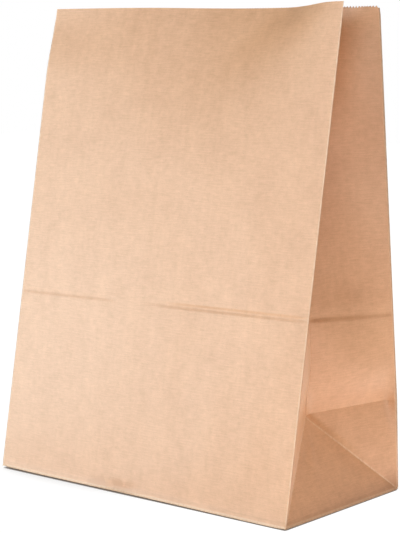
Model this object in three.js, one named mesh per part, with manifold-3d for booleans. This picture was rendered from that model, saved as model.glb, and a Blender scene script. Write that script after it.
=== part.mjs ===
import * as THREE from 'three';
import Module from 'manifold-3d';
import { mergeVertices } from 'three/addons/utils/BufferGeometryUtils.js';

// A self-opening kraft paper bag, standing open. One sheet folded to a tube with
// tucked side gussets, lapped down the back and folded flat under the foot.
// Millimetres, +Z up, front panel on -Y, origin on the floor under the middle of the foot.

const width = 254; // front and back panels, fold to fold
const depth = 130; // each gusset, fold to fold when pulled flat
const height = 330; // foot fold to the tips of the teeth
const ply = 0.15; // paper thickness
const lip = 4.4; // smooth cut front panel above the toothed cut
const toothPitch = 2.16;
const toothHeight = 0.8;
const lap = 17; // glued overlap down the back panel
const flapOverlap = 25; // front and back foot flaps past each other
const frontLean = 0.172; // radians from upright
const backLeanLow = 0.05; // below the half depth fold
const backLeanHigh = 0.107;
const halfFold = 65.5; // level where both foot diagonals meet
const ghostCrease = 128.5; // level of the crease left all round by the folded foot
const foldSkew = 2.5; // both lie higher on the front and lower on the back
const creaseHalf = 1.6;
const creaseRise = 0.5;
const apexTuck = 32; // gusset pushed in from the foot edge at the diagonals' meeting
const mouthTuck = 60; // gusset pushed in at the mouth
const mouthTuckDrop = 4; // middle fold below the corners at the mouth
const bowDepth = 15; // front panel sunk at the mouth
const bowStart = 0.42; // of the height
const bowRise = 0.75; // of the width, left fold to the deepest place
const bowFall = 0.21; // of the width, deepest place to the right fold
const cornerFlare = 0.22; // of the bow, right corner curled back out
const leftCurl = 3; // left corner turned back at the mouth
const curlReach = 45;
const backBow = 4;
const gussetBulge = 4; // front half of each gusset pushed in behind the bow
const frontCells = 20;
const gussetCells = 8;
const upperRows = 8;
const rimBand = 12; // plain band under the teeth

const half = width / 2;
const flap = depth / 2 + flapOverlap / 2;
const footZ = 2.5 * ply; // middle of the floor ply
const backCells = 2 * Math.round((width / lap - 1) / 2) + 1;
const loopLength = 2 * (width + depth);

function ramp(t) {
  const c = Math.min(1, Math.max(0, t));
  return c * c * (3 - 2 * c);
}

function leaned(run, lean) {
  return new THREE.Vector2(run * Math.sin(lean), run * Math.cos(lean));
}

// Share of the fold skew at a mean level: none at the foot and the mouth.
function skewed(v) {
  const fold = Math.min(1, v / halfFold, (height - v) / (height - ghostCrease - creaseHalf));
  return foldSkew * Math.max(0, fold);
}

// Corner folds of the right side by mean level; the left side is their mirror.
function frontFold(v) {
  const rise = leaned(v + skewed(v), frontLean);
  return new THREE.Vector3(half, rise.x - depth / 2, footZ + rise.y);
}

function backFold(v) {
  const fold = halfFold - foldSkew;
  const run = v - skewed(v);
  const low = leaned(Math.min(run, fold), backLeanLow);
  const high = leaned(Math.max(run - fold, 0), backLeanHigh);
  return new THREE.Vector3(half, depth / 2 - low.x - high.x, footZ + low.y + high.y);
}

// Where both foot diagonals and the gusset's middle fold come together.
const apexRise = Math.sqrt(halfFold * halfFold - apexTuck * apexTuck);
const apex = new THREE.Vector3(half - apexTuck, 0, footZ + apexRise);
const mouthMiddle = frontFold(height).add(backFold(height)).divideScalar(2);
mouthMiddle.x = half - mouthTuck;
mouthMiddle.z -= mouthTuckDrop;

function middleFold(v) {
  return apex.clone().lerp(mouthMiddle, (v - halfFold) / (height - halfFold));
}

function swell(v) {
  return Math.pow(Math.max(0, v / height - bowStart) / (1 - bowStart), 2);
}

function crease(v, inset) {
  const across = Math.min(1, inset / (2 * creaseHalf));
  return creaseRise * across * Math.max(0, 1 - Math.abs(v - ghostCrease) / creaseHalf);
}

function cornerCurl(v) {
  return leftCurl * ramp((v - height) / curlReach + 1);
}

// A point of the front panel moved square to it, towards the inside.
function sunk(p, inward) {
  p.y += inward * Math.cos(frontLean);
  p.z -= inward * Math.sin(frontLean);
  return p;
}

function frontPoint(x, v) {
  const p = frontFold(v);
  const share = x / width + 0.5;
  const curl = Math.max(0, 1 - Math.abs(1 - share - 0.25 * bowFall) / (0.25 * bowFall));
  const profile = ramp(share / bowRise) * ramp((1 - share) / bowFall) - cornerFlare * curl;
  const curled = ramp(1 - 2.5 * share) * cornerCurl(v);
  p.x = x;
  return sunk(p, bowDepth * swell(v) * profile + curled - crease(v, half - Math.abs(x)));
}

function backPoint(x, v) {
  const p = backFold(v);
  const share = x / width + 0.5;
  const inward = backBow * swell(v) * 4 * share * (1 - share) - crease(v, half - Math.abs(x));
  p.x = x;
  p.y -= inward;
  return p;
}

// Side panel on the right, u from the front fold to the back fold.
function sidePoint(u, v, curled) {
  const front = sunk(frontFold(v), curled);
  const back = backFold(v);
  const inset = Math.min(u, depth - u);
  if (v >= halfFold) {
    const middle = middleFold(v);
    const t = inset / (depth / 2);
    const p = (u < depth / 2 ? front : back).lerp(middle, t);
    const pushed = u < depth / 2 ? gussetBulge * swell(v) * 4 * t * (1 - t) : 0;
    p.y += pushed;
    p.x += crease(v, Math.min(inset, depth / 2 - inset));
    return p;
  }
  const share = v / halfFold;
  const reach = (share * depth) / 2;
  const frontDiagonal = frontFold(0).lerp(apex, share);
  const backDiagonal = backFold(0).lerp(apex, share);
  if (u < reach) {
    return front.lerp(frontDiagonal, u / reach);
  }
  if (depth - u < reach) {
    return back.lerp(backDiagonal, (depth - u) / reach);
  }
  return frontDiagonal.lerp(backDiagonal, (u - reach) / (depth - 2 * reach));
}

// Any place of the sheet: s once round the tube from the left end of the front.
function sheetPoint(s, v) {
  if (s <= width) {
    return frontPoint(s - half, v);
  }
  if (s <= width + depth) {
    return sidePoint(s - width, v, 0);
  }
  if (s <= 2 * width + depth) {
    return backPoint(half - (s - width - depth), v);
  }
  const p = sidePoint(loopLength - s, v, cornerCurl(v));
  p.x = -p.x;
  return p;
}

const columns = [];
function addColumns(start, span, cells) {
  for (let i = 0; i < cells; i += 1) {
    columns.push(start + (span * i) / cells);
  }
}
addColumns(0, width, frontCells);
addColumns(width, depth, gussetCells);
addColumns(width + depth, width, backCells);
addColumns(2 * width + depth, depth, gussetCells);

const rows = [];
for (let i = 0; i < gussetCells / 2; i += 1) {
  rows.push((2 * halfFold * i) / gussetCells);
}
const rowBase = ghostCrease + creaseHalf;
rows.push(halfFold, (halfFold + ghostCrease) / 2, ghostCrease - creaseHalf, ghostCrease, rowBase);
for (let i = 1; i <= upperRows; i += 1) {
  rows.push(rowBase + ((height - rimBand - rowBase) * i) / upperRows);
}

// Middle surface of the sheet as points and triangles, each triangle facing out.
const points = [];
const faces = [];
const known = new Map();
function vertex(s, v) {
  const key = `${(s % loopLength).toFixed(3)}|${v.toFixed(3)}`;
  if (!known.has(key)) {
    known.set(key, points.length);
    points.push({ s: s % loopLength, at: sheetPoint(s % loopLength, v) });
  }
  return known.get(key);
}

const lapStart = 1.5 * width + depth - width / (2 * backCells);
const lapEnd = lapStart + width / backCells;
function addFace(a, b, c, middleS) {
  const lapped = middleS > lapStart && middleS < lapEnd;
  faces.push({ corners: [a, b, c], lapped });
}

function addCell(s0, s1, v0, v1, rising) {
  const a = vertex(s0, v0);
  const b = vertex(s1, v0);
  const c = vertex(s1, v1);
  const d = vertex(s0, v1);
  const middleS = (s0 + s1) / 2;
  if (rising) {
    addFace(a, b, c, middleS);
    addFace(a, c, d, middleS);
  } else {
    addFace(a, b, d, middleS);
    addFace(b, c, d, middleS);
  }
}

// Rising diagonals on the front half of the right gusset, falling on its back half.
function risesAt(s) {
  if (s > width && s < width + depth) {
    return s < width + depth / 2;
  }
  return s < loopLength - depth / 2;
}

function addTeeth(s0, s1, v0, level) {
  const teeth = Math.round((s1 - s0) / toothPitch);
  const cut = [];
  for (let k = 0; k <= 2 * teeth; k += 1) {
    const s = s0 + ((s1 - s0) * k) / (2 * teeth);
    cut.push(vertex(s, k % 2 === 1 ? height : level));
  }
  const left = vertex(s0, v0);
  const right = vertex(s1, v0);
  const middleS = (s0 + s1) / 2;
  for (let k = 0; k < 2 * teeth; k += 1) {
    addFace(k < teeth ? left : right, cut[k + 1], cut[k], middleS);
  }
  addFace(left, right, cut[teeth], middleS);
}

const rimRow = rows[rows.length - 1];
const valley = height - toothHeight;
const foot = points.length;
points.push({ s: -1, at: new THREE.Vector3(0, 0, footZ) });
for (let i = 0; i < columns.length; i += 1) {
  const s0 = columns[i];
  const s1 = i + 1 < columns.length ? columns[i + 1] : loopLength;
  for (let j = 0; j + 1 < rows.length; j += 1) {
    addCell(s0, s1, rows[j], rows[j + 1], risesAt((s0 + s1) / 2));
  }
  if (s1 <= width + 1e-6) {
    addCell(s0, s1, rimRow, valley, true);
    addCell(s0, s1, valley, height + lip, true);
  } else {
    addTeeth(s0, s1, rimRow, valley);
  }
  addFace(foot, vertex(s1, 0), vertex(s0, 0), -1);
}

// Half thickness offset that keeps every face touching a point one half ply away.
function solveOffsets() {
  const sums = points.map(() => ({ m: new Array(6).fill(0), r: new THREE.Vector3() }));
  const normal = new THREE.Vector3();
  const triangle = new THREE.Triangle();
  for (const face of faces) {
    triangle.set(...face.corners.map((i) => points[i].at));
    triangle.getNormal(normal);
    for (const i of face.corners) {
      const sum = sums[i];
      sum.m[0] += normal.x * normal.x;
      sum.m[1] += normal.x * normal.y;
      sum.m[2] += normal.x * normal.z;
      sum.m[3] += normal.y * normal.y;
      sum.m[4] += normal.y * normal.z;
      sum.m[5] += normal.z * normal.z;
      sum.r.addScaledVector(normal, ply / 2);
    }
  }
  sums.forEach((sum, i) => {
    const slack = 2e-3;
    const m = sum.m;
    const matrix = new THREE.Matrix3().set(
      m[0] + slack, m[1], m[2],
      m[1], m[3] + slack, m[4],
      m[2], m[4], m[5] + slack,
    );
    points[i].off = sum.r.applyMatrix3(matrix.invert());
  });
}
solveOffsets();

const coords = [];
const indices = [];
const placed = new Map();
function corner(i, multiple) {
  const key = `${i}|${multiple.toFixed(4)}`;
  if (!placed.has(key)) {
    placed.set(key, coords.length / 3);
    const p = points[i].at.clone().addScaledVector(points[i].off, multiple);
    coords.push(p.x, p.y, p.z);
  }
  return placed.get(key);
}

// Across the lap the outer ply climbs one ply and ends, the inner ply starts below it.
function lapShare(i) {
  return Math.min(1, Math.max(0, (points[i].s - lapStart) / (lapEnd - lapStart)));
}

function outerOf(i, lapped) {
  return lapped ? 1 + 2 * lapShare(i) : 1;
}

function innerOf(i, lapped) {
  return lapped ? -3 + 2 * lapShare(i) : -1;
}

function chain(i, lapped) {
  const outer = outerOf(i, lapped);
  const inner = innerOf(i, lapped);
  if (!lapped || (outer < 2.999 && inner > -2.999)) {
    return [outer, inner];
  }
  return outer > 2.999 ? [outer, 1, inner] : [outer, -1, inner];
}

function addTriangle(a, b, c) {
  if (a !== b && b !== c && c !== a) {
    indices.push(a, b, c);
  }
}

function addRim(a, b, lapped) {
  const left = chain(a, lapped).map((m) => corner(a, m));
  const right = chain(b, lapped).map((m) => corner(b, m));
  let i = 0;
  let j = 0;
  while (i + 1 < left.length || j + 1 < right.length) {
    const leftShare = (i + 1) / (left.length - 1);
    const rightShare = (j + 1) / (right.length - 1);
    if (leftShare <= rightShare) {
      addTriangle(left[i], left[i + 1], right[j]);
      i += 1;
    } else {
      addTriangle(left[i], right[j + 1], right[j]);
      j += 1;
    }
  }
}

function addStep(a, b, mine, other, level, turned) {
  const am = corner(a, level(a, mine));
  const bm = corner(b, level(b, mine));
  const ao = corner(a, level(a, other));
  const bo = corner(b, level(b, other));
  if (turned) {
    addTriangle(am, bm, bo);
    addTriangle(am, bo, ao);
  } else {
    addTriangle(bm, am, ao);
    addTriangle(bm, ao, bo);
  }
}

const sides = new Map();
for (const face of faces) {
  const [a, b, c] = face.corners;
  indices.push(...face.corners.map((i) => corner(i, outerOf(i, face.lapped))));
  indices.push(...[c, b, a].map((i) => corner(i, innerOf(i, face.lapped))));
  for (const [p, q] of [[a, b], [b, c], [c, a]]) {
    sides.set(`${p}|${q}`, face.lapped);
  }
}
for (const [key, lapped] of sides) {
  const [a, b] = key.split('|').map(Number);
  const back = `${b}|${a}`;
  if (!sides.has(back)) {
    addRim(a, b, lapped);
  } else if (lapped && !sides.get(back)) {
    addStep(a, b, true, false, outerOf, false);
    addStep(a, b, true, false, innerOf, true);
  }
}

const wasm = await Module();
wasm.setup();

function solid(vertices, triangles) {
  const mesh = new wasm.Mesh({
    numProp: 3,
    vertProperties: new Float32Array(vertices),
    triVerts: new Uint32Array(triangles),
  });
  return new wasm.Manifold(mesh);
}

// A flat plate with a convex outline, counter-clockwise from above.
function plate(outline, low, high) {
  const count = outline.length;
  const vertices = [];
  const triangles = [];
  for (const level of [low, high]) {
    for (const [x, y] of outline) {
      vertices.push(x, y, level);
    }
  }
  for (let i = 0; i < count; i += 1) {
    const next = (i + 1) % count;
    triangles.push(i, next, count + next, i, count + next, count + i);
  }
  for (let i = 1; i + 1 < count; i += 1) {
    triangles.push(0, i + 1, i, count, count + i, count + i + 1);
  }
  return solid(vertices, triangles);
}

// Foot flaps: back flap lowest, front flap on it, side flaps uppermost.
const edgeX = half + ply / 4;
const edgeY = depth / 2 + ply / 4;
function footFlap(side, low, high) {
  const free = flapOverlap / 2;
  const reach = edgeX - (edgeY + free);
  const outline = [
    [-edgeX, side * edgeY],
    [edgeX, side * edgeY],
    [reach, -side * free],
    [-reach, -side * free],
  ];
  return plate(side < 0 ? outline : outline.reverse(), low, high);
}

const tilt = apexTuck / apexRise;
const sideX = half - ply * tilt;
const frontY = -depth / 2 + ply * Math.tan(frontLean);
const backY = depth / 2 - ply * Math.tan(backLeanLow);
function sideFlap(side) {
  const outline = [
    [side * (half - flap), frontY],
    [side * sideX, frontY],
    [side * sideX, backY],
    [side * (half - flap), backY],
  ];
  return plate(side > 0 ? outline : outline.reverse(), footZ + ply * 0.1, footZ + ply * 1.5);
}

const bag = solid(coords, indices)
  .add(footFlap(1, 0, footZ))
  .add(footFlap(-1, ply, footZ + ply * 0.05))
  .add(sideFlap(1))
  .add(sideFlap(-1));

function toGeometry(manifold) {
  const mesh = manifold.getMesh();
  const geometry = new THREE.BufferGeometry();
  const position = new Float32Array(mesh.vertProperties);
  geometry.setAttribute('position', new THREE.BufferAttribute(position, 3));
  geometry.setIndex(new THREE.BufferAttribute(new Uint32Array(mesh.triVerts), 1));
  const merged = mergeVertices(geometry, 1e-3);
  merged.computeVertexNormals();
  return merged;
}

const kraft = new THREE.MeshStandardMaterial({
  color: 0xd9b08c,
  roughness: 0.85,
  metalness: 0,
});
const paperBag = new THREE.Mesh(toGeometry(bag), kraft);
paperBag.name = 'paper_bag';

const group = new THREE.Group();
group.name = 'kraft_paper_bag';
group.add(paperBag);

export default group;
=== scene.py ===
import math

import bmesh
import bpy
from bpy.props import FloatProperty, FloatVectorProperty, PointerProperty
from mathutils import Matrix, Vector, noise


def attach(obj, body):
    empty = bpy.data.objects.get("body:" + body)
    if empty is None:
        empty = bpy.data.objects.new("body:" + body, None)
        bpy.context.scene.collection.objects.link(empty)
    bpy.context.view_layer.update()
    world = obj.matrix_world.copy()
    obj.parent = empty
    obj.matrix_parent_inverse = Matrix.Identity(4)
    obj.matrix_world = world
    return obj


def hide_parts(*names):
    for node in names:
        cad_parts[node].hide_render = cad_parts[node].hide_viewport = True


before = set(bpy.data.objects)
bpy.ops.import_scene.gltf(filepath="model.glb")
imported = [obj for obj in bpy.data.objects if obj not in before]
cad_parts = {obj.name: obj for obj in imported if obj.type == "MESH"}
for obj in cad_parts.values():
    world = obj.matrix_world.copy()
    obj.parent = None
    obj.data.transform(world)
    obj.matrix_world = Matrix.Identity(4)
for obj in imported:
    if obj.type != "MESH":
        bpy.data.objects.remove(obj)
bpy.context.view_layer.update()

bl_info = {
    "name": "Kraft paper bag",
    "version": (1, 0, 0),
    "blender": (4, 5, 0),
    "location": "View3D > Sidebar > Paper Bag",
    "description": "A folded kraft paper bag with tucked gussets, standing open",
    "category": "Object",
}

MM = 0.001
NODE = "paper_bag"
SHEET = "sheet"


def length(name, text, value):
    return FloatProperty(name=name, description=text, default=value * MM,
                         precision=5, subtype="DISTANCE", unit="LENGTH")


def share(name, text, value):
    return FloatProperty(name=name, description=text, default=value, subtype="FACTOR")


def angle(name, text, value):
    return FloatProperty(name=name, description=text, default=value,
                         subtype="ANGLE", unit="ROTATION")


def amount(name, text, value):
    return FloatProperty(name=name, description=text, default=value)


def colour(name, text, value):
    return FloatVectorProperty(name=name, description=text, default=value, size=3,
                               min=0.0, max=1.0, subtype="COLOR")


class SheetSizes(bpy.types.PropertyGroup):
    """Sizes of the folded sheet."""
    width: length("Width", "Front and back panels, fold to fold", 254)
    depth: length("Depth", "Each gusset pulled flat", 130)
    height: length("Height", "Foot fold to the tips of the teeth", 330)
    ply: length("Ply", "Paper thickness", 0.15)
    lip: length("Lip", "Smooth cut front panel above the teeth", 5)
    tooth: length("Tooth", "Depth of the toothed cut", 1.5)
    lap: length("Lap", "Glued overlap down the back panel", 17)
    flap_overlap: length("Flap overlap", "Front and back foot flaps past each other", 25)
    front_lean: angle("Front lean", "Front panel from upright", 0.172)
    back_lean_low: angle("Low back lean", "Back panel below the half depth fold", 0.05)
    back_lean_high: angle("High back lean", "Back panel above the half depth fold", 0.107)
    half_fold: length("Half fold", "Level where both foot diagonals meet", 65.2)
    ghost: length("Ghost crease", "Level of the crease left by the folded foot", 128.5)
    skew: length("Fold skew", "How far both lie higher in front and lower behind", 2.5)
    ghost_half: length("Ghost half width", "Crease line to flat paper", 2.4)
    ghost_deep: length("Ghost depth", "Depth of the ghost crease in the panels", 0.5)
    ghost_side: length("Ghost side depth", "Depth of the ghost crease in the gussets", 1.25)
    ghost_tilt: length("Ghost tilt", "Ghost crease higher on the right of the front", 2.6)
    pushed: length("Pushed out", "Gusset's middle fold bowed out near the ghost crease", 11)
    lean: length("Leaned in", "Gusset sunk between its folds above its bowed-out part", 4.4)
    crest: length("Crest", "Soft upright ridge of the front panel below the mouth", 1.2)
    pillow: length("Pillow", "Gusset swelled out between the two creases", 3)
    valley: length("Valley", "Gusset pressed in along the half fold", 6.5)
    fan: length("Fan", "Creases fanning out below the diagonals' meeting", 0.7)
    apex_tuck: length("Apex tuck", "Gusset pushed in where the diagonals meet", 32)
    mouth_tuck: length("Mouth tuck", "Gusset pushed in at the mouth", 60)
    bow: length("Front bow", "Front panel sunk at the mouth", 15)
    bow_start: share("Bow start", "Where the bow begins, of the height", 0.66)
    bow_rise: share("Bow rise", "Left fold to the deepest place, of the width", 0.75)
    bow_fall: share("Bow fall", "Deepest place to the right fold, of the width", 0.26)
    corner_flare: share("Corner flare", "Right corner curled back out, of the bow", 0.05)
    left_curl: length("Left curl", "Left corner turned back at the mouth", 3)
    curl_reach: length("Curl reach", "How far down the corner curl goes", 45)
    back_bow: length("Back bow", "Back panel sunk at the mouth", 4)
    hump: length("Mouth hump", "Back half of each gusset swelled out below the mouth", 7.5)
    bulge: length("Gusset bulge", "Front half of each gusset behind the bow", 4)
    fold_radius: length("Fold radius", "Rounding of each sharp fold", 0.45)
    wave: length("Waviness", "Slow waves of the loose paper", 0.35)
    edge_lift: length("Edge lift", "Front foot edge off the floor", 0.8)
    corner_lift: length("Corner lift", "Front left foot corner, further off the floor", 0.3)
    foot_bead: length("Foot bead", "Front foot fold rolled proud of the panel", 0.35)


class KraftFinish(bpy.types.PropertyGroup):
    """Colours and surface of the kraft paper."""
    paper: colour("Paper", "Pale end of the kraft paper's tone", (0.810, 0.458, 0.254))
    pulp: colour("Pulp", "Dark end of the kraft paper's tone", (0.610, 0.310, 0.155))
    # Colour of the painted highlight along the folds and the foot rim, partly wear.
    fold_highlight_and_wear: colour("Worn fold", "Paper rubbed pale along a fold", (0.86, 0.62, 0.43))
    fleck: colour("Fleck", "Dark fibres in the pulp", (0.33, 0.17, 0.085))
    rough: share("Roughness", "Roughness of the sheet", 0.45)
    fibre: length("Fibre relief", "Height of the fibres", 0.05)


class StudioLevels(bpy.types.PropertyGroup):
    """Light, floor and camera."""
    sky: amount("Sky", "Even light at the level of the bag", 0.93)
    zenith: amount("Zenith", "Even light straight overhead", 0.1)
    sky_colour: colour("Sky colour", "Colour of the even light", (1.0, 0.95, 0.88))
    key: amount("Key", "Soft low lamp in front on the left, watts", 7.6)
    key_colour: colour("Key colour", "Colour of the key lamp", (0.88, 1.0, 0.99))
    front: amount("Front", "Soft lamp high in front, watts", 8.8)
    front_colour: colour("Front colour", "Colour of the front lamp", (0.9, 0.96, 1.0))
    left: amount("Left", "Small lamp beside the left edge, watts", 0.95)
    left_colour: colour("Left colour", "Colour of the left lamp", (0.72, 0.94, 1.0))
    near: amount("Near card", "Low card in front on the right, watts", 0.8)
    near_colour: colour("Near card colour", "Colour of the near card", (1.0, 0.93, 0.76))
    far: amount("Far card", "Low card behind on the right, watts", 1.15)
    far_colour: colour("Far card colour", "Colour of the far card", (1.0, 0.57, 0.24))
    table: amount("Table card", "Card that lies on the table on the right, watts", 0.33)
    table_colour: colour("Table card colour", "Colour of the table card", (1.0, 0.88, 0.78))
    floor_lift: share("Floor lift", "Part of the floor's white seen by the camera", 0.9)
    shade: colour("Contact shade", "Floor tucked under the foot edge", (0.1, 0.075, 0.055))
    lens: amount("Lens", "Focal length in millimetres", 111.36)


# Plies under each part of the folded foot.
FOOT_PLIES = 2.5
FLAP_PLIES = {"front": 2.6, "back": 0.5, "right": 3.7, "left": 3.7}
SIDE_FLAP_WIDTH = 0.998     # of the gusset, so the side flaps clear the folds beside them
FLAP_EASE = 6 * MM          # panel levels meet the gussets' level this close to a fold
FOOT_EASE = 20 * MM         # and are all one at this height
LAP_EASE = 5 * MM
LAP_STEP = 1.05             # of the ply

# The gussets: how far each shape of the loose paper reaches.
SKEW_HOLD = 1.6 * MM        # the skew is full up to here above the ghost crease
END_CLEAR = 5 * MM          # pressed shapes end this close to a fold
BEND_SOFT = 0.008           # roundness of the pushed-out part's ridge
PUSH_FADE = 170 * MM
PILLOW_RISE = 24 * MM
PILLOW_TOP = 1.4            # of the band between half fold and ghost crease
LEAN_REACH = 0.6            # of the gusset half's width
LEAN_EASE = 25 * MM
HUMP_DROP = 17 * MM         # crest of the mouth hump below the tips
HUMP_ABOVE, HUMP_BELOW = 34 * MM, 85 * MM
VALLEY_ABOVE, VALLEY_BELOW = 34 * MM, 52 * MM
SQUARE_X, SQUARE_Y = 0.88, 0.47     # outward from a gusset half
CALM_RISE = 25 * MM
GROOVE_TILT, GROOVE_DROP = 3.5 * MM, 1.5 * MM
GROOVE_LEAST, GROOVE_SWING = 0.75, 0.6
GROOVE_ABOVE, GROOVE_BELOW = 3.2, 1.3       # of the ghost crease's half width
FAN_START, FAN_END = 14 * MM, 58 * MM
FAN_INSET, FAN_RISE = 8 * MM, 12 * MM

# The panels. Parts are of the front's width, from its left fold.
CURL_SHARE = 0.25           # of the bow's right slope
BOW_WIDEN = 1.2
LEFT_CURL_NARROW = 2.5
BEAD_LEVEL, BEAD_REACH = 0.6 * MM, 1.8 * MM
CREST_PLACE, CREST_REACH = -29 * MM, 38 * MM
CREST_START, CREST_RISE = 200 * MM, 90 * MM
GHOST_PIVOT = 0.45
GHOST_LEFT_END, GHOST_LEFT_FADE, GHOST_LEFT_SHARE = 0.37, 0.05, 0.5
GHOST_RIGHT_START, GHOST_RIGHT_RISE = 0.42, 0.22
RUCK_PART, RUCK_WIDTH, RUCK_HEIGHT, RUCK_DEEP = 0.36, 0.035, 7 * MM, 0.3 * MM
CRUMPLE_PART, CRUMPLE_WIDTH = 0.455, 0.085
CRUMPLE_LOW, CRUMPLE_HIGH = 1.5 * MM, 9 * MM
CRUMPLE_DEEP, CRUMPLE_BIAS = 1.6 * MM, 0.35
WAVE_INSET, WAVE_START, WAVE_RISE = 22 * MM, 2 * MM, 30 * MM
SLOW_SHARE, QUICK_SHARE = 1.6, 0.5

# The foot's lift off the floor.
LIFT_FALL, LIFT_FALL_START, LIFT_FALL_WIDTH = 0.75, 0.5, 0.45
LIFT_DEEP, LIFT_CORNER, LIFT_HIGH = 55 * MM, 34 * MM, 60 * MM
CORNER_SQUASH = 0.7
LAP_LIFT = 2 * MM

# Noise of the loose paper: waves per metre across and up, and each field's own cut.
RUCK_NOISE = (420, 420, 1.3)
SLOW_NOISE = (13, 9, 3.7)
QUICK_NOISE = (34, 21, 8.1)
FAN_NOISE = (5.5, 12, 6.4)
GROOVE_NOISE = (90, 1, 5.5)
CRUMPLE_NOISE = (210, 260, 2.2)
BACK_SHIFT, RIGHT_SHIFT, LEFT_SHIFT = 2.0, 5.0, 9.0

# Cells of the flat grid, and how narrow the ones beside a fold are.
GUSSET_CELLS, GUSSET_EDGE = 30, 0.018
BACK_CELLS, BACK_EDGE = 55, 0.01
FRONT_CELLS, FRONT_EDGE = 72, 0.0048
LAP_CELLS = 8
FLAP_CELLS, FLAP_EDGE = 9, 0.985
LOW_CELLS, LOW_EDGE = 18, 0.02
GHOST_CELLS, GHOST_BAND = 12, 4 * MM
HIGH_CELLS = 48
LEAST_TOOTH = 1.5 * MM      # narrower cells get no tooth
SAME = 1e-5                 # places on the flat sheet that count as one
BELOW_FOLD = -1e-6


def ramp(t):
    c = min(1.0, max(0.0, t))
    return c * c * (3.0 - 2.0 * c)


def bump_at(distance, reach):
    """A soft hump, 1 at no distance and 0 from reach on."""
    return ramp(1.0 - abs(distance) / reach)


def notch(distance, reach):
    """A crease with a sharp bottom, 1 at no distance and 0 from reach on."""
    return max(0.0, 1.0 - abs(distance) / reach) ** 2


def arch(t):
    """0 at both ends of a span and 1 in its middle."""
    return math.sin(math.pi * t)


def rumple(x, y, field):
    across, up, cut = field
    return noise.noise(Vector((x * across, y * up, cut)))


def spread(start, end, fractions):
    return [start + (end - start) * f for f in fractions[:-1]]


def even(cells):
    return [i / cells for i in range(cells + 1)]


def held(cells, edge):
    """Even cells with a narrow one at each end that keeps a fold's rounding tight."""
    inner = [edge + (1.0 - 2.0 * edge) * i / (cells - 2) for i in range(cells - 1)]
    return [0.0] + inner + [1.0]


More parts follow.
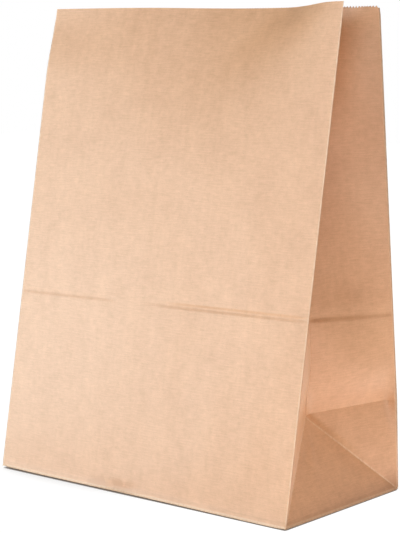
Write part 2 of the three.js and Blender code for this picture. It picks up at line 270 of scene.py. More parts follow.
class FoldedSheet:
    """Places a point of the flat sheet on the standing bag.

    s runs round the tube from the front's left fold, v runs up from the foot fold,
    u runs across a gusset from front to back, and x across a panel from its middle.
    """

    def __init__(self, sizes):
        width, depth = sizes.width, sizes.depth
        self.z = sizes
        self.half = width / 2
        self.foot = FOOT_PLIES * sizes.ply
        self.levels = {panel: plies * sizes.ply for panel, plies in FLAP_PLIES.items()}
        self.loop = 2 * (width + depth)
        self.flap = depth / 2 + sizes.flap_overlap / 2
        self.start = 1.5 * width + depth - sizes.lap / 2
        # Corner folds and gusset middle folds between the two laps of the flat sheet.
        self.corners = (2 * width + depth, self.loop, self.loop + width,
                        self.loop + width + depth)
        self.middles = (self.loop - depth / 2, self.loop + width + depth / 2)
        rise = math.sqrt(sizes.half_fold ** 2 - sizes.apex_tuck ** 2)
        self.apex = Vector((self.half - sizes.apex_tuck, 0, self.foot + rise))
        self.mouth = (self.front_fold(sizes.height) + self.back_fold(sizes.height)) / 2
        self.mouth.x = self.half - sizes.mouth_tuck

    def skewed(self, v):
        z = self.z
        upper = (z.height - v) / (z.height - z.ghost - SKEW_HOLD)
        return z.skew * max(0.0, min(1.0, v / z.half_fold, upper))

    def front_fold(self, v):
        run = v + self.skewed(v)
        lean = self.z.front_lean
        return Vector((self.half, run * math.sin(lean) - self.z.depth / 2,
                       self.foot + run * math.cos(lean)))

    def back_fold(self, v):
        z = self.z
        fold = z.half_fold - z.skew
        run = v - self.skewed(v)
        low, high = min(run, fold), max(run - fold, 0.0)
        return Vector((
            self.half,
            z.depth / 2 - low * math.sin(z.back_lean_low) - high * math.sin(z.back_lean_high),
            self.foot + low * math.cos(z.back_lean_low) + high * math.cos(z.back_lean_high)))

    def swell(self, v):
        start = self.z.bow_start
        return (max(0.0, v / self.z.height - start) / (1.0 - start)) ** 2

    def corner_curl(self, v):
        return self.z.left_curl * ramp((v - self.z.height) / self.z.curl_reach + 1.0)

    def sunk(self, p, inward):
        """Moves a point of the front panel square to it, towards the inside."""
        p.y += inward * math.cos(self.z.front_lean)
        p.z -= inward * math.sin(self.z.front_lean)
        return p

    def ghost_line(self, v, inset, deep, above=1.0, below=1.0):
        """Soft groove left where the foot was folded up against the bag."""
        z = self.z
        across = min(1.0, inset / (2 * z.ghost_half))
        wide = z.ghost_half * (above if v > z.ghost else below)
        return -deep * across * bump_at(v - z.ghost, wide)

    def front_ghost(self, x, v, inset):
        """The front's groove: thin on the left, lost near a third, deeper on the right."""
        z = self.z
        part = x / z.width + 0.5
        level = v - z.ghost_tilt * (part - GHOST_PIVOT)
        left = GHOST_LEFT_SHARE * ramp((GHOST_LEFT_END - part) / GHOST_LEFT_FADE)
        right = ramp((part - GHOST_RIGHT_START) / GHOST_RIGHT_RISE)
        line = self.ghost_line(level, inset, z.ghost_deep * (left + right))
        ruck = bump_at(part - RUCK_PART, RUCK_WIDTH) * bump_at(v - z.ghost, RUCK_HEIGHT)
        return line + RUCK_DEEP * ruck * rumple(x, v, RUCK_NOISE)

    def foot_crumple(self, x, v):
        """A short crumple just above the front foot fold."""
        part = x / self.z.width + 0.5
        near = bump_at(part - CRUMPLE_PART, CRUMPLE_WIDTH)
        near *= ramp(v / CRUMPLE_LOW) * ramp(1.0 - v / CRUMPLE_HIGH)
        return -CRUMPLE_DEEP * near * (CRUMPLE_BIAS + rumple(x, v, CRUMPLE_NOISE))

    def waves(self, s, v, inset):
        """Slow waves of loose paper, none at the folds."""
        calm = ramp(inset / WAVE_INSET) * ramp((v + WAVE_START) / WAVE_RISE)
        slow = rumple(s, v, SLOW_NOISE)
        quick = rumple(s, v, QUICK_NOISE)
        return self.z.wave * calm * (SLOW_SHARE * slow + QUICK_SHARE * quick)

    def front_point(self, x, v):
        z = self.z
        p = self.front_fold(v)
        part = x / z.width + 0.5
        inset = self.half - abs(x)
        curl_half = CURL_SHARE * z.bow_fall
        curl = max(0.0, 1.0 - abs(1.0 - part - curl_half) / curl_half)
        fall = z.bow_fall * (1.0 + BOW_WIDEN * (1.0 - self.swell(v)))
        profile = ramp(part / z.bow_rise) * ramp((1.0 - part) / fall) - z.corner_flare * curl
        curled = ramp(1.0 - LEFT_CURL_NARROW * part) * self.corner_curl(v)
        inward = z.bow * self.swell(v) * profile + curled
        bead = z.foot_bead * bump_at(v - BEAD_LEVEL, BEAD_REACH)
        crest = z.crest * math.exp(-((x - CREST_PLACE) / CREST_REACH) ** 2)
        crest *= ramp((v - CREST_START) / CREST_RISE)
        outward = self.front_ghost(x, v, inset) + self.foot_crumple(x, v) + bead + crest
        p.x = x
        return self.sunk(p, inward - outward + self.waves(x, v, inset))

    def back_point(self, x, v):
        z = self.z
        p = self.back_fold(v)
        part = x / z.width + 0.5
        inset = self.half - abs(x)
        inward = z.back_bow * self.swell(v) * 4 * part * (1.0 - part)
        groove = self.ghost_line(v, inset, z.ghost_deep)
        p.x = x
        p.y -= inward - groove + self.waves(x + BACK_SHIFT, v, inset)
        return p

    def side_swell(self, inset, v, behind):
        """How far a gusset half stands proud of its plain folds, square to it."""
        z = self.z
        t = inset / (z.depth / 2)
        up = v - z.half_fold
        band = z.ghost - z.half_fold
        rise = max(0.0, up / band)
        past = rise - t
        rounded = math.sqrt(past ** 2 + BEND_SOFT)
        faded = min(1.0, max(0.0, 1.0 - (v - z.ghost) / PUSH_FADE)) ** 2
        pushed = z.pushed * max(0.0, 0.5 * (rise + t - rounded)) * faded
        pillow = z.pillow * arch(t) * ramp(up / PILLOW_RISE) * ramp(PILLOW_TOP - up / band)
        beyond = 0.5 * (past + rounded)
        lean = z.lean * (1.0 - math.exp(-beyond / LEAN_REACH)) * arch(t)
        lean *= ramp((v - z.ghost + LEAN_EASE) / (2 * LEAN_EASE))
        swell = pushed + pillow - lean
        if behind:
            over = v - z.height + HUMP_DROP
            swell += z.hump * arch(t) * bump_at(over, HUMP_ABOVE if over > 0 else HUMP_BELOW)
            clear = min(1.0, inset / END_CLEAR, (z.depth / 2 - inset) / END_CLEAR)
            swell -= z.valley * clear * notch(up, VALLEY_ABOVE)
        return swell

    def fanned(self, u, v):
        """Small creases that run from the diagonals' meeting down to the foot."""
        z = self.z
        across = u - z.depth / 2
        down = z.half_fold - v
        away = math.hypot(across, down)
        turn = math.atan2(across, down)
        calm = ramp(away / FAN_START) * ramp(1.0 - away / FAN_END)
        return z.fan * calm * rumple(turn, away, FAN_NOISE)

    def upper_side(self, u, v, front, back, shift):
        """A point of a gusset above the half fold: two halves that meet at its middle fold."""
        z = self.z
        middle_u = z.depth / 2
        inset = min(u, z.depth - u)
        t = inset / middle_u
        behind = u > middle_u
        reach = (v - z.half_fold) / (z.height - z.half_fold)
        p = (front if u < middle_u else back).lerp(self.apex.lerp(self.mouth, reach), t)
        if u < middle_u:
            p.y += z.bulge * self.swell(v) * 4 * t * (1.0 - t)
        clear = min(inset, middle_u - inset)
        calm = ramp((v - z.half_fold) / CALM_RISE)
        level = v - (GROOVE_TILT * t - GROOVE_DROP)
        patchy = GROOVE_LEAST + GROOVE_SWING * rumple(u, shift, GROOVE_NOISE)
        groove = self.ghost_line(level, clear, z.ghost_side * patchy, GROOVE_ABOVE, GROOVE_BELOW)
        swell = self.side_swell(inset, v, behind)
        p.x += groove - self.waves(u + shift, v, clear) * calm
        p.x += SQUARE_X * swell
        p.y -= SQUARE_Y * swell * (1.0 if behind else ramp(t))
        return p

    def lower_side(self, u, v, front, back):
        """A point of a gusset below the half fold: a facet each side of the middle one."""
        z = self.z
        part = v / z.half_fold
        reach = part * z.depth / 2
        rest = z.depth - u
        front_diagonal = self.front_fold(0).lerp(self.apex, part)
        back_diagonal = self.back_fold(0).lerp(self.apex, part)
        if u < reach:
            return front.lerp(front_diagonal, u / reach)
        if rest < reach:
            p = back.lerp(back_diagonal, rest / reach)
            clear = min(1.0, rest / END_CLEAR, (reach - rest) / END_CLEAR)
            pressed = z.valley * clear * notch(v - z.half_fold, VALLEY_BELOW)
            p.x -= SQUARE_X * pressed
            p.y += SQUARE_Y * pressed
            return p
        p = front_diagonal.lerp(back_diagonal, (u - reach) / (z.depth - 2 * reach))
        inside = min(u, rest) - reach
        p.x += self.fanned(u, v) * ramp(inside / FAN_INSET) * ramp(v / FAN_RISE)
        return p

    def side_point(self, u, v, curled, shift):
        front = self.sunk(self.front_fold(v), curled)
        back = self.back_fold(v)
        if v >= self.z.half_fold:
            return self.upper_side(u, v, front, back, shift)
        return self.lower_side(u, v, front, back)

    def panel_of(self, s):
        z = self.z
        s %= self.loop
        if s < z.width:
            return "front"
        if s < z.width + z.depth:
            return "right"
        if s < 2 * z.width + z.depth:
            return "back"
        return "left"

    def along(self, s, panel):
        """Place once round the tube, kept on the panel's own side of a fold."""
        s %= self.loop
        if panel == "left" and s < self.half:
            return self.loop
        if panel == "front" and s > self.loop - self.half:
            return 0.0
        return s

    def flap_point(self, s, v, panel):
        """A point of a foot flap; v counts down from the foot fold."""
        z = self.z
        s = self.along(s, panel)
        taper = (self.half + v) / self.half
        level = self.levels[panel]
        if panel == "front":
            return Vector(((s - self.half) * taper, -z.depth / 2 - v, level))
        if panel == "back":
            return Vector(((self.half - (s - z.width - z.depth)) * taper, z.depth / 2 + v, level))
        if panel == "right":
            across = s - z.width - z.depth / 2
            return Vector((self.half + v, SIDE_FLAP_WIDTH * across, level))
        across = self.loop - s - z.depth / 2
        return Vector((-self.half - v, SIDE_FLAP_WIDTH * across, level))

    def wall_point(self, s, v, panel):
        z = self.z
        s = self.along(s, panel)
        inset = 0.0
        if s <= z.width:
            p = self.front_point(s - self.half, v)
            inset = min(s, z.width - s)
        elif s <= z.width + z.depth:
            p = self.side_point(s - z.width, v, 0.0, RIGHT_SHIFT)
        elif s <= 2 * z.width + z.depth:
            x = self.half - (s - z.width - z.depth)
            p = self.back_point(x, v)
            inset = self.half - abs(x)
        else:
            p = self.side_point(self.loop - s, v, self.corner_curl(v), LEFT_SHIFT)
            p.x = -p.x
        side_level = self.levels["right"]
        level = side_level + (self.levels[panel] - side_level) * min(1.0, inset / FLAP_EASE)
        p.z += (level - self.foot) * max(0.0, 1.0 - v / FOOT_EASE)
        return p

    def lap_step(self, s):
        """Inward step of the ply that lies under the lap."""
        ramped = 1.0 - ramp((s - self.start - self.z.lap) / LAP_EASE)
        return LAP_STEP * self.z.ply * ramped

    def lifted(self, p):
        """The front foot edge stands a little off the floor, most at its left corner."""
        z = self.z
        part = p.x / z.width + 0.5
        behind = p.y + z.depth / 2
        away = math.hypot(p.x + self.half, CORNER_SQUASH * behind)
        edge = z.edge_lift * (1.0 - LIFT_FALL * ramp((part - LIFT_FALL_START) / LIFT_FALL_WIDTH))
        edge *= ramp(1.0 - behind / LIFT_DEEP)
        corner = z.corner_lift * ramp(1.0 - away / LIFT_CORNER)
        p.z += (edge + corner) * max(0.0, 1.0 - p.z / LIFT_HIGH)
        return p

    def place(self, s, v, panel):
        under = self.lap_step(s)
        if v < 0.0:
            p = self.flap_point(s, v, panel)
            p.z += under
        else:
            p = self.wall_point(s, v, panel)
            p.y -= under if panel == "back" else 0.0
            p.z += under * max(0.0, 1.0 - v / LAP_LIFT)
        return self.lifted(p)


def flat_grid(sheet):
    """The unrolled sheet as a grid, its columns and rows set on the folds."""
    z = sheet.z
    gusset = (z.depth / 2, held(GUSSET_CELLS, GUSSET_EDGE))
    back = (z.width / 2 - z.lap / 2, held(BACK_CELLS, BACK_EDGE))
    lap = (z.lap, even(LAP_CELLS))
    front = (z.width, held(FRONT_CELLS, FRONT_EDGE))
    columns = []
    at = sheet.start
    for span, cells in (lap, back, gusset, gusset, front, gusset, gusset, back, lap):
        columns += spread(at, at + span, cells)
        at += span
    columns.append(at)
    near = z.ghost - GHOST_BAND
    far = z.ghost + GHOST_BAND
    valley = z.height - z.tooth
    rows = spread(-sheet.flap, 0.0, even(FLAP_CELLS)[:-1] + [FLAP_EDGE, 1.0])
    rows += spread(0.0, z.half_fold, held(GUSSET_CELLS, GUSSET_EDGE))
    rows += spread(z.half_fold, near, held(LOW_CELLS, LOW_EDGE))
    rows += spread(near, far, even(GHOST_CELLS))
    rows += spread(far, valley, even(HIGH_CELLS))
    rows.append(valley)

    bm = bmesh.new()
    across, up = len(columns) - 1, len(rows) - 1
    bmesh.ops.create_grid(bm, x_segments=across, y_segments=up, size=0.5)
    lattice = {}
    for vert in bm.verts:
        i = round((vert.co.x + 0.5) * across)
        j = round((vert.co.y + 0.5) * up)
        vert.co = Vector((columns[i], rows[j], 0.0))
        lattice[i, j] = vert
    return bm, columns, rows, lattice


def split_diagonals(bm, sheet, columns, rows, lattice):
    """Cuts the gusset cells along both foot diagonals."""
    foot = min(range(len(rows)), key=lambda j: abs(rows[j]))
    half_row = min(range(len(rows)), key=lambda j: abs(rows[j] - sheet.z.half_fold))
    count = half_row - foot
    cuts = []
    for corner in (sheet.corners[0], sheet.corners[2]):
        first = min(range(len(columns)), key=lambda i: abs(columns[i] - corner))
        last = first + 2 * count
        for k in range(count):
            cuts.append((lattice[first + k, foot + k], lattice[first + k + 1, foot + k + 1]))
            cuts.append((lattice[last - k, foot + k], lattice[last - k - 1, foot + k + 1]))
    for low, high in cuts:
        face = next(f for f in low.link_faces if high in f.verts)
        bmesh.utils.face_split(face, low, high)
    return [bm.edges.get(pair) for pair in cuts]


def on_line(edge, axis, value):
    """Whether an edge of the flat sheet lies on a column or row."""
    return all(abs(vert.co[axis] - value) < SAME for vert in edge.verts)


def middle_of(edge):
    return (edge.verts[0].co.x + edge.verts[1].co.x) / 2


def cut_mouth(bm, sheet):
    """Teeth round the mouth, and the smooth front lip above them."""
    z = sheet.z
    front = []
    toothed = []
    for edge in bm.edges:
        if not (edge.is_boundary and on_line(edge, 1, z.height - z.tooth)):
            continue
        if sheet.panel_of(middle_of(edge)) == "front":
            front.append(edge)
        elif edge.calc_length() > LEAST_TOOTH:
            toothed.append(edge)
    raised = bmesh.ops.extrude_edge_only(bm, edges=front)["geom"]
    tips = [g for g in raised if isinstance(g, bmesh.types.BMVert)]
    bmesh.ops.translate(bm, verts=tips, vec=(0.0, z.lip + z.tooth, 0.0))
    new = bmesh.ops.subdivide_edges(bm, edges=toothed, cuts=1)["geom_inner"]
    teeth = [g for g in new if isinstance(g, bmesh.types.BMVert)]
    bmesh.ops.translate(bm, verts=teeth, vec=(0.0, z.tooth, 0.0))


def fold_edges(bm, sheet, diagonals):
    """Edges of the flat sheet that are folds: the rounded ones, and the crisp creases."""
    half_fold = sheet.z.half_fold
    rounded = set()
    crisp = set(diagonals)
    for edge in bm.edges:
        low = min(v.co.y for v in edge.verts)
        if low < BELOW_FOLD or edge.is_boundary:
            continue
        side = sheet.panel_of(middle_of(edge)) in ("left", "right")
        if on_line(edge, 1, 0.0) or any(on_line(edge, 0, c) for c in sheet.corners):
            rounded.add(edge)
        elif side and on_line(edge, 1, half_fold):
            crisp.add(edge)
        elif low > half_fold - SAME and any(on_line(edge, 0, m) for m in sheet.middles):
            rounded.add(edge)
    return list(rounded), list(crisp)


def part_flaps(bm, sheet):
    """Cuts the foot flaps apart at the corner folds."""
    parted = [edge for edge in bm.edges
              if min(v.co.y for v in edge.verts) < BELOW_FOLD
              and any(on_line(edge, 0, corner) for corner in sheet.corners)]
    bmesh.ops.split_edges(bm, edges=parted)


def fold_up(bm, sheet):
    """Keeps each flat place as the sheet's own map, then moves all points to the bag."""
    flat = bm.loops.layers.uv.new(SHEET)
    for face in bm.faces:
        for loop in face.loops:
            loop[flat].uv = loop.vert.co.xy
    places = {}
    for vert in bm.verts:
        middle = sum((f.calc_center_median().x for f in vert.link_faces), 0.0)
        middle /= len(vert.link_faces)
        places[vert] = sheet.place(vert.co.x, vert.co.y, sheet.panel_of(middle))
    for vert, place in places.items():
        vert.co = place


def make_sheet(sheet, material):
    bm, columns, rows, lattice = flat_grid(sheet)
    diagonals = split_diagonals(bm, sheet, columns, rows, lattice)
    cut_mouth(bm, sheet)
    rounded, crisp = fold_edges(bm, sheet, diagonals)
    for edge in crisp:
        edge.smooth = False
    part_flaps(bm, sheet)
    fold_up(bm, sheet)
    bmesh.ops.bevel(bm, geom=rounded, offset=sheet.z.fold_radius, offset_type="OFFSET",
                    segments=2, profile=0.5, affect="EDGES", material=-1,
                    clamp_overlap=True, loop_slide=True)
    for edge in bm.edges:
        if edge.is_boundary:
            edge.smooth = False
    mesh = bpy.data.meshes.new("paper_bag_sheet")
    bm.to_mesh(mesh)
    bm.free()
    for face in mesh.polygons:
        face.use_smooth = True
    mesh.materials.append(material)
    piece = bpy.data.objects.new("paper_bag_sheet", mesh)
    bpy.context.scene.collection.objects.link(piece)
    wall = piece.modifiers.new("Ply", "SOLIDIFY")
    wall.thickness = sheet.z.ply
    wall.offset = 0.0
    wall.use_even_offset = False
    wall.use_rim = True
    return piece


class Wire:
    """A value socket that adds Math nodes when it meets an operator."""

    def __init__(self, board, socket):
        self.board = board
        self.socket = socket

    def __add__(self, other):
        return self.board.maths("ADD", self, other)

    def __radd__(self, other):
        return self.board.maths("ADD", self, other)

    def __sub__(self, other):
        return self.board.maths("SUBTRACT", self, other)

    def __rsub__(self, other):
        return self.board.maths("SUBTRACT", other, self)

    def __mul__(self, other):
        return self.board.maths("MULTIPLY", self, other)

    def __rmul__(self, other):
        return self.board.maths("MULTIPLY", self, other)

    def __truediv__(self, other):
        return self.board.maths("DIVIDE", self, other)

    def __rtruediv__(self, other):
        return self.board.maths("DIVIDE", other, self)

    def __abs__(self):
        return self.board.maths("ABSOLUTE", self)


class Board:
    """The node tree of one material."""

    def __init__(self, tree):
        self.tree = tree
        tree.nodes.clear()

    def node(self, kind, settings=None, values=None):
        made = self.tree.nodes.new(kind)
        for name, value in (settings or {}).items():
            setattr(made, name, value)
        for name, value in (values or {}).items():
            socket = made.inputs[name]
            if isinstance(value, Wire):
                self.tree.links.new(value.socket, socket)
            else:
                socket.default_value = value
        return made

    def wire(self, made, output):
        return Wire(self, made.outputs[output])

    def maths(self, operation, *values):
        made = self.node("ShaderNodeMath", {"operation": operation}, dict(enumerate(values)))
        return self.wire(made, 0)

    def smooth(self, value, low, high):
        """0 at low and 1 at high, eased at both ends."""
        made = self.node("ShaderNodeMapRange", {"interpolation_type": "SMOOTHSTEP"},
                         {"Value": value, "From Min": low, "From Max": high})
        return self.wire(made, "Result")

    def mix(self, factor, first, second):
        made = self.node("ShaderNodeMix", {"data_type": "RGBA"},
                         {"Factor": factor, 6: first, 7: second})
        return self.wire(made, 2)

    def mix_shaders(self, factor, first, second):
        made = self.node("ShaderNodeMixShader", None, {0: factor, 1: first, 2: second})
        return self.wire(made, 0)

    def grain(self, place, size, turn, detail, rough, shift):
        """Noise with cells of the given width and length, in metres, turned on the sheet."""
        laid = self.node("ShaderNodeMapping", {"vector_type": "TEXTURE"}, {
            "Vector": place, "Location": (shift, -shift, 0.0),
            "Rotation": (0.0, 0.0, turn), "Scale": (size[0], size[1], 1.0)})
        made = self.node("ShaderNodeTexNoise", {"noise_dimensions": "2D"}, {
            "Vector": self.wire(laid, 0), "Scale": 1.0, "Detail": detail, "Roughness": rough})
        return self.wire(made, 0)

    def openness(self, reach):
        """How open a place is to what stands within reach, 0 when it is tucked in."""
        made = self.node("ShaderNodeAmbientOcclusion", {"samples": 8}, {"Distance": reach})
        return self.wire(made, "AO")

    def picture_rays(self):
        """Rays seen straight, mirrored or through glass, and the mirrored ones alone."""
        rays = self.node("ShaderNodeLightPath")
        mirrored = self.wire(rays, "Is Glossy Ray")
        seen = self.maths("MAXIMUM", self.wire(rays, "Is Camera Ray"), mirrored)
        seen = self.maths("MAXIMUM", seen, self.wire(rays, "Is Transmission Ray"))
        return seen, mirrored


def full(rgb):
    return (rgb[0], rgb[1], rgb[2], 1.0)


def between(low, high, part):
    """Goes from low to high as part goes from 0 to 1."""
    return low + (high - low) * part


WHITE = (1.0, 1.0, 1.0, 1.0)

# Grains of the paper: cell width and length in metres, turn, detail, roughness, shift.
FIBRES = (
    ((0.00016, 0.0016), 0.12, 3.0, 0.6, 0.0),
    ((0.00017, 0.0013), 0.75, 3.0, 0.6, 0.31),
    ((0.00018, 0.0012), -0.7, 3.0, 0.6, 0.67),
)
FLECKS = (
    ((0.0004, 0.0021), 0.5, 1.0, 0.5, 0.11),
    ((0.0004, 0.0019), -0.95, 1.0, 0.5, 0.53),
)
FLECK_FROM, FLECK_TO = 0.77, 0.84
PULP = {
    "cloud": ((0.0032, 0.0042), 0.0, 4.0, 0.62, 0.2),
    "laid": ((0.009, 0.0009), 0.0, 2.0, 0.6, 0.15),
    "mottle": ((0.0085, 0.0095), 0.0, 2.0, 0.55, 0.05),
    "drift": ((0.021, 0.028), 0.0, 2.0, 0.5, 0.9),
    "streaks": ((0.006, 0.3), 0.0, 2.0, 0.6, 0.4),
}
PATCHY = ((0.0012, 0.004), 0.0, 3.0, 0.6, 0.77)

# How much each grain swings the paper's tone, and how high it stands in the relief.
TONE_SHARES = {"fibres": 2.0, "cloud": 0.6, "laid": 0.85, "mottle": 0.42, "drift": 0.42,
               "streaks": 0.25}
RELIEF_SHARES = {"fibres": 0.7, "cloud": 0.8, "streaks": 0.3}
MEAN = 0.5                  # of every grain
BLOTCH_CLOUD = 0.5          # cloud in the blotches of the painted crumple shade
FLECK_SHARE, FOLD_HIGHLIGHT_SHARE = 0.5, 0.75
ROUGH_FIBRES, ROUGH_PALE_FOLDS = 0.2, 0.1

# Painted highlights along the folds, partly wear, and painted shade. Levels are in metres above
# the foot fold.
FOLD_HIGHLIGHT_FROM, FOLD_HIGHLIGHT_FULL, FOLD_HIGHLIGHT_LEAST = 0.0011, 0.0001, 0.25
FOLD_HIGHLIGHT_THIN, FOLD_HIGHLIGHT_THICK = 0.35, 0.65      # patchiness where the painted highlight and wear are least and full
DIAGONAL_SQUARE = 0.7       # distance square to a diagonal, of that along the row
RIM_LEVEL, RIM_FROM, RIM_FULL, RIM_LEAST = 0.0003, 0.0016, 0.0006, 0.6
RIM_THIN, RIM_THICK = 0.3, 0.6
SHADE_LEVEL, SHADE_FROM, SHADE_FULL, SHADE_DARK = 0.0030, 0.0015, 0.0004, 0.2
CRUMPLE_SHADE_PART, CRUMPLE_SHADE_FROM, CRUMPLE_SHADE_FULL, CRUMPLE_SHADE_DARK = 0.42, 0.12, 0.03, 1.1
CRUMPLE_SHADE_HIGH, CRUMPLE_SHADE_LOW = 0.013, 0.002
CRUMPLE_SHADE_THIN, CRUMPLE_SHADE_THICK = 0.6, 0.85
CORNER_LEVEL, CORNER_FROM, CORNER_FULL, CORNER_DARK = 0.004, 0.014, 0.002, 0.7
CORNER_LOW = 0.002


def fold_highlights_and_wear(board, s, v, sheet, patchy):
    """Corner folds, foot fold, diagonals and half fold, pale unevenly: painted highlights of
    their rounding, partly wear.
    """
    sizes = sheet.z
    nearest = abs(s - sheet.corners[0])
    for fold in sheet.corners[1:]:
        nearest = board.maths("MINIMUM", nearest, abs(s - fold))
    middle = board.maths("MINIMUM", abs(s - sheet.middles[0]), abs(s - sheet.middles[1]))
    slope = sizes.depth / 2 / sizes.half_fold
    diagonal = abs(middle - (sizes.depth / 2 - v * slope)) * DIAGONAL_SQUARE
    above = board.maths("GREATER_THAN", v, sizes.half_fold + MM)
    nearest = board.maths("MINIMUM", nearest, diagonal + above)
    fold_highlight_and_wear = board.smooth(nearest, FOLD_HIGHLIGHT_FROM, FOLD_HIGHLIGHT_FULL)
    fold_highlight_and_wear = fold_highlight_and_wear * between(FOLD_HIGHLIGHT_LEAST, 1.0, board.smooth(patchy, FOLD_HIGHLIGHT_THIN, FOLD_HIGHLIGHT_THICK))
    # Painted highlight of the rounded foot fold, a pale rim.
    rim = board.smooth(abs(v - RIM_LEVEL), RIM_FROM, RIM_FULL)
    rim = rim * between(RIM_LEAST, 1.0, board.smooth(patchy, RIM_THIN, RIM_THICK))
    return board.maths("MAXIMUM", fold_highlight_and_wear, rim)


def painted_shades(board, s, v, sheet, blotches):
    """Painted shade: a line under the foot's rim, a blotchy patch by the front foot's crumple,
    and the pucker at the back right foot corner.
    """
    # Painted shade in a line under the foot's rim.
    painted_shade = board.smooth(abs(v - SHADE_LEVEL), SHADE_FROM, SHADE_FULL) * SHADE_DARK
    part = (s - sheet.loop) / sheet.z.width
    # Painted shade of the crumple above the front foot, broken into blotches.
    rubbed = board.smooth(abs(part - CRUMPLE_SHADE_PART), CRUMPLE_SHADE_FROM, CRUMPLE_SHADE_FULL)
    rubbed = rubbed * board.smooth(v, CRUMPLE_SHADE_HIGH, CRUMPLE_SHADE_LOW)
    painted_shade = painted_shade + rubbed * board.smooth(blotches, CRUMPLE_SHADE_THIN, CRUMPLE_SHADE_THICK) * CRUMPLE_SHADE_DARK
    # Painted shade of the pucker at the back right foot corner.
    across, up = s - sheet.corners[3], v - CORNER_LEVEL
    away = board.maths("SQRT", across * across + up * up)
    corner_shade = board.smooth(away, CORNER_FROM, CORNER_FULL) * board.smooth(v, 0.0, CORNER_LOW)
    return painted_shade + corner_shade * CORNER_DARK


def kraft_paper(finish, sheet):
    material = bpy.data.materials.new("kraft_paper")
    material.use_nodes = True
    board = Board(material.node_tree)
    place = board.wire(board.node("ShaderNodeUVMap", {"uv_map": SHEET}), 0)
    parts = board.node("ShaderNodeSeparateXYZ", None, {"Vector": place})
    s, v = board.wire(parts, 0), board.wire(parts, 1)

    # Pulp: crossed fibres, cloudy formation and faint streaks along the web.
    first, second, third = (board.grain(place, *fibre) for fibre in FIBRES)
    grains = {name: board.grain(place, *grain) for name, grain in PULP.items()}
    grains["fibres"] = (first + second + third) / len(FIBRES)
    flecks = board.maths("MAXIMUM", *(
        board.smooth(board.grain(place, *fleck), FLECK_FROM, FLECK_TO) for fleck in FLECKS))
    tone = sum(((grains[name] - MEAN) * swing for name, swing in TONE_SHARES.items()), MEAN)

    # Painted highlights along the folds and the foot's rim, partly wear.
    fold_highlight_and_wear = fold_highlights_and_wear(board, s, v, sheet, board.grain(place, *PATCHY))
    blotches = grains["mottle"] + grains["cloud"] * BLOTCH_CLOUD
    # Painted shade darkens the tone by the foot's rim, at the crumple and at the back right foot
    # corner.
    tone = tone - painted_shades(board, s, v, sheet, blotches)
    base = board.mix(tone, full(finish.pulp), full(finish.paper))
    base = board.mix(flecks * FLECK_SHARE, base, full(finish.fleck))
    base = board.mix(fold_highlight_and_wear * FOLD_HIGHLIGHT_SHARE, base, full(finish.fold_highlight_and_wear))

    height = sum(grains[name] * high for name, high in RELIEF_SHARES.items())
    rough = finish.rough + (grains["fibres"] - MEAN) * ROUGH_FIBRES + fold_highlight_and_wear * ROUGH_PALE_FOLDS
    relief = board.node("ShaderNodeBump", None, {
        "Strength": 0.6, "Distance": finish.fibre, "Height": height})
    shader = board.node("ShaderNodeBsdfPrincipled", None, {
        "Base Color": base, "Roughness": rough, "Specular IOR Level": 0.7,
        "Coat Weight": 0.8, "Coat Roughness": 0.4, "Normal": board.wire(relief, 0)})
    board.node("ShaderNodeOutputMaterial", None, {"Surface": board.wire(shader, 0)})
    return material


# The floor: its painted contact shadow, the painted soft shadow beside the front foot, and its
# glow.
FLOOR_PALE = (0.9, 0.9, 0.9, 1.0)
FLOOR_GLOW = 1.12
CONTACT_REACH, CONTACT_FULL, CONTACT_NONE = 0.012, 0.08, 0.55
HALO_REACH, HALO_FULL, HALO_NONE, HALO_DARK = 0.05, 0.35, 0.8, 0.6
HALO_RIGHT, HALO_LEFT = 0.05, -0.08
HALO_SHADOW_GREY = (0.35, 0.33, 0.32, 1.0)
FLOOR_HALF = 4.0
FLOOR_DROP = 0.2 * MM       # keeps the floor off the foot's own underside
HOLE = ((-125 * MM, 125 * MM), (-54 * MM, 63 * MM))


def floor_white(levels):
    """White floor: the camera sees it lifted to white with painted shadows by the foot, and a
    little of its lit shadows stays.
    """
    material = bpy.data.materials.new("floor_white")
    material.use_nodes = True
    board = Board(material.node_tree)
    seen, _ = board.picture_rays()
    plain = board.node("ShaderNodeBsdfDiffuse", None, {"Color": FLOOR_PALE})
    place = board.wire(board.node("ShaderNodeTexCoord"), "Object")
    across = board.wire(board.node("ShaderNodeSeparateXYZ", None, {"Vector": place}), 0)
    # Painted shadow: darker where the floor is tucked in under the foot and, on the left, beside
    # it.
    tucked = 1.0 - board.smooth(board.openness(CONTACT_REACH), CONTACT_FULL, CONTACT_NONE)
    halo_shadow = 1.0 - board.smooth(board.openness(HALO_REACH), HALO_FULL, HALO_NONE)
    halo_shadow = halo_shadow * board.smooth(across, HALO_RIGHT, HALO_LEFT)
    tone = board.mix(halo_shadow * HALO_DARK, WHITE, HALO_SHADOW_GREY)
    tone = board.mix(tucked, tone, full(levels.shade))
    lit = board.node("ShaderNodeEmission", None, {"Color": tone, "Strength": FLOOR_GLOW})
    both = board.mix_shaders(seen * levels.floor_lift, board.wire(plain, 0), board.wire(lit, 0))
    # From below the floor is clear, so the folded foot shows.
    below = board.wire(board.node("ShaderNodeNewGeometry"), "Backfacing")
    clear = board.node("ShaderNodeBsdfTransparent")
    whole = board.mix_shaders(below, both, board.wire(clear, 0))
    board.node("ShaderNodeOutputMaterial", None, {"Surface": whole})
    return material


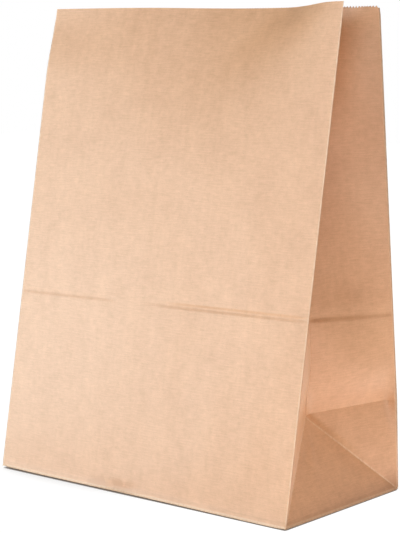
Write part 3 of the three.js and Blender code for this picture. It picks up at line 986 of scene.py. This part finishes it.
def make_floor(levels):
    """The floor, with a hole under the foot that is out of sight from above."""
    bm = bmesh.new()
    bmesh.ops.create_grid(bm, x_segments=3, y_segments=3, size=FLOOR_HALF)
    for vert in bm.verts:
        for axis, (low, high) in enumerate(HOLE):
            if abs(vert.co[axis]) < FLOOR_HALF / 2:
                vert.co[axis] = low if vert.co[axis] < 0.0 else high
    under_foot = min(bm.faces, key=lambda face: face.calc_center_median().length)
    bmesh.ops.delete(bm, geom=[under_foot], context="FACES")
    bmesh.ops.translate(bm, verts=bm.verts, vec=(0.0, 0.0, -FLOOR_DROP))
    mesh = bpy.data.meshes.new("studio_floor")
    bm.to_mesh(mesh)
    bm.free()
    mesh.materials.append(floor_white(levels))
    floor = bpy.data.objects.new("studio_floor", mesh)
    bpy.context.scene.collection.objects.link(floor)
    return floor


# Height of a sky direction where the even light and the mirrored ceiling are at their full.
ZENITH_FULL, CEILING_FULL = 0.8, 0.45
CEILING_DARK = 0.85


def even_sky(levels):
    """White to the camera, tinted on the bag, and darker overhead."""
    world = bpy.data.worlds.new("studio_sky")
    bpy.context.scene.world = world
    world.use_nodes = True
    board = Board(world.node_tree)
    seen, mirrored = board.picture_rays()
    tint = board.mix(seen, full(levels.sky_colour), WHITE)
    towards = board.wire(board.node("ShaderNodeTexCoord"), "Generated")
    upward = board.wire(board.node("ShaderNodeSeparateXYZ", None, {"Vector": towards}), 2)
    light = between(levels.sky, levels.zenith, board.smooth(upward, 0.0, ZENITH_FULL))
    light = between(light, 1.0, seen)
    ceiling = board.smooth(upward, 0.0, CEILING_FULL) * mirrored
    strength = light * (1.0 - ceiling * CEILING_DARK)
    sky = board.node("ShaderNodeBackground", None, {"Color": tint, "Strength": strength})
    board.node("ShaderNodeOutputWorld", None, {"Surface": board.wire(sky, 0)})


# Each lamp: name, place, aim, size, and the name of its watts in the studio levels.
LAMPS = (
    ("key_lamp", (-1.15, -1.2, 0.14), (-0.05, 0.0, 0.10), (0.55, 0.45), "key"),
    ("front_lamp", (-0.3, -1.5, 0.9), (0.0, 0.0, 0.15), (0.8, 0.8), "front"),
    ("left_lamp", (-0.8, -0.55, 0.5), (-0.05, 0.0, 0.2), (0.4, 0.4), "left"),
    ("near_card", (0.45, -0.5, 0.03), (0.12, 0.02, 0.10), (0.35, 0.3), "near"),
    ("far_card", (0.7, 0.45, 0.05), (0.12, 0.02, 0.13), (0.35, 0.5), "far"),
    ("table_card", (0.30, -0.02, 0.003), (0.30, -0.02, 1.0), (0.33, 0.4), "table"),
)


def soft_lamp(name, place, aim, size, watts, tint):
    lamp = bpy.data.lights.new(name, "AREA")
    lamp.shape = "RECTANGLE"
    lamp.size, lamp.size_y = size
    lamp.energy = watts
    lamp.color = tint
    holder = bpy.data.objects.new(name, lamp)
    place = Vector(place)
    turn = (Vector(aim) - place).to_track_quat("-Z", "Y")
    holder.matrix_world = Matrix.LocRotScale(place, turn, None)
    holder.visible_camera = False
    bpy.context.scene.collection.objects.link(holder)


def photo_camera(levels):
    """The photograph's view: place, yaw, pitch and roll of the lens."""
    place = Vector((0.7234, -0.8786, 0.2937))
    yaw, pitch, roll = 0.6861, 0.1249, 0.0017
    forward = Vector((-math.sin(yaw) * math.cos(pitch), math.cos(yaw) * math.cos(pitch),
                      -math.sin(pitch)))
    level = Vector((math.cos(yaw), math.sin(yaw), 0.0))
    upright = level.cross(forward)
    right = math.cos(roll) * level + math.sin(roll) * upright
    up = math.cos(roll) * upright - math.sin(roll) * level
    lens = bpy.data.cameras.new("photo_camera")
    lens.lens = levels.lens
    lens.sensor_width = 36.0
    lens.sensor_fit = "AUTO"
    lens.clip_start = 0.05
    camera = bpy.data.objects.new("photo_camera", lens)
    camera.matrix_world = Matrix((right, up, -forward)).transposed().to_4x4()
    camera.matrix_world.translation = place
    bpy.context.scene.collection.objects.link(camera)
    bpy.context.scene.camera = camera


class KRAFTBAG_OT_stage(bpy.types.Operator):
    """Makes the camera, the lamps, the sky and the pale floor"""
    bl_idname = "kraft_bag.stage"
    bl_label = "Set the stage"

    def execute(self, context):
        levels = context.scene.kraft_bag_studio
        photo_camera(levels)
        even_sky(levels)
        for name, place, aim, size, level in LAMPS:
            soft_lamp(name, place, aim, size,
                      getattr(levels, level), getattr(levels, level + "_colour"))
        make_floor(levels)
        context.scene.view_settings.view_transform = "Standard"
        return {"FINISHED"}


class KRAFTBAG_OT_sheet(bpy.types.Operator):
    """Folds the kraft sheet to the standing bag"""
    bl_idname = "kraft_bag.sheet"
    bl_label = "Fold the sheet"

    def execute(self, context):
        sheet = FoldedSheet(context.scene.kraft_bag_sheet)
        finish = context.scene.kraft_bag_finish
        piece = make_sheet(sheet, kraft_paper(finish, sheet))
        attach(piece, "root")
        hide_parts(NODE)
        return {"FINISHED"}


class KRAFTBAG_PT_panel(bpy.types.Panel):
    """Sizes, finish and light of the bag"""
    bl_idname = "KRAFTBAG_PT_panel"
    bl_label = "Paper Bag"
    bl_space_type = "VIEW_3D"
    bl_region_type = "UI"
    bl_category = "Paper Bag"

    def draw(self, context):
        for group in GROUPS:
            held_by = getattr(context.scene, group)
            box = self.layout.box()
            for name in held_by.bl_rna.properties.keys():
                if name not in ("rna_type", "name"):
                    box.prop(held_by, name)
        for operator in (KRAFTBAG_OT_stage, KRAFTBAG_OT_sheet):
            self.layout.operator(operator.bl_idname)


GROUPS = {
    "kraft_bag_sheet": SheetSizes,
    "kraft_bag_finish": KraftFinish,
    "kraft_bag_studio": StudioLevels,
}
CLASSES = (SheetSizes, KraftFinish, StudioLevels, KRAFTBAG_OT_stage, KRAFTBAG_OT_sheet,
           KRAFTBAG_PT_panel)


def register():
    for cls in CLASSES:
        bpy.utils.register_class(cls)
    for name, group in GROUPS.items():
        setattr(bpy.types.Scene, name, PointerProperty(type=group))


def unregister():
    for name in GROUPS:
        delattr(bpy.types.Scene, name)
    for cls in reversed(CLASSES):
        bpy.utils.unregister_class(cls)


def main():
    register()
    bpy.ops.kraft_bag.stage()
    bpy.ops.kraft_bag.sheet()


if __name__ == "__main__":
    main()
